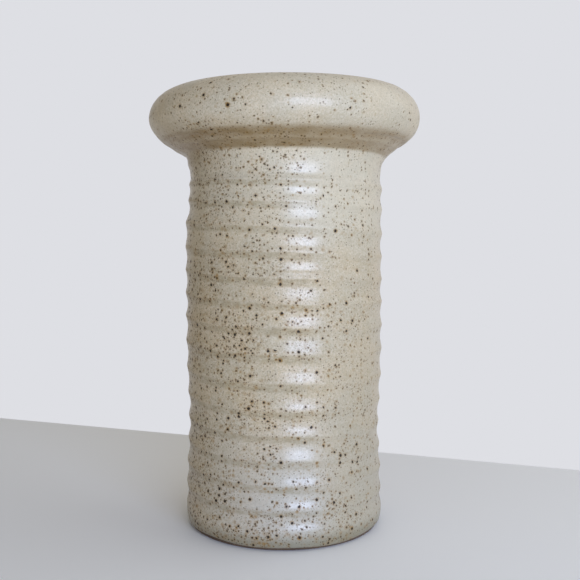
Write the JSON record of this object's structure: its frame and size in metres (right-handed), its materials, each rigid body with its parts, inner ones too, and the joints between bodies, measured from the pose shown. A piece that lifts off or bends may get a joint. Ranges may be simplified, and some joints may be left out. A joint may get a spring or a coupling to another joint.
{
  "type": "stoneware pottery vase",
  "caption": "Tall cylindrical vase with throwing rings round the wall and a hollow doughnut rim, for holding stems or standing as an ornament",
  "frame": {"origin": "the middle of the foot, on the surface that the vase stands on", "axes": "+Z is the axis the vase was thrown on, pointing up; X and Y are level"},
  "size_m": [0.156, 0.156, 0.25],
  "materials": {
    "stoneware": "bare fired stoneware, matt and slightly gritty",
    "speckled_glaze": "oatmeal satin-gloss glaze with dark iron speckles",
    "liner_glaze": "satin-gloss liner glaze with sparse iron speckles"
  },
  "bodies": {
    "root": {"thrown_body": "stoneware", "rim_ring": "stoneware", "outer_glaze": "speckled_glaze", "inner_glaze": "liner_glaze"}
  },
  "joints": []
}
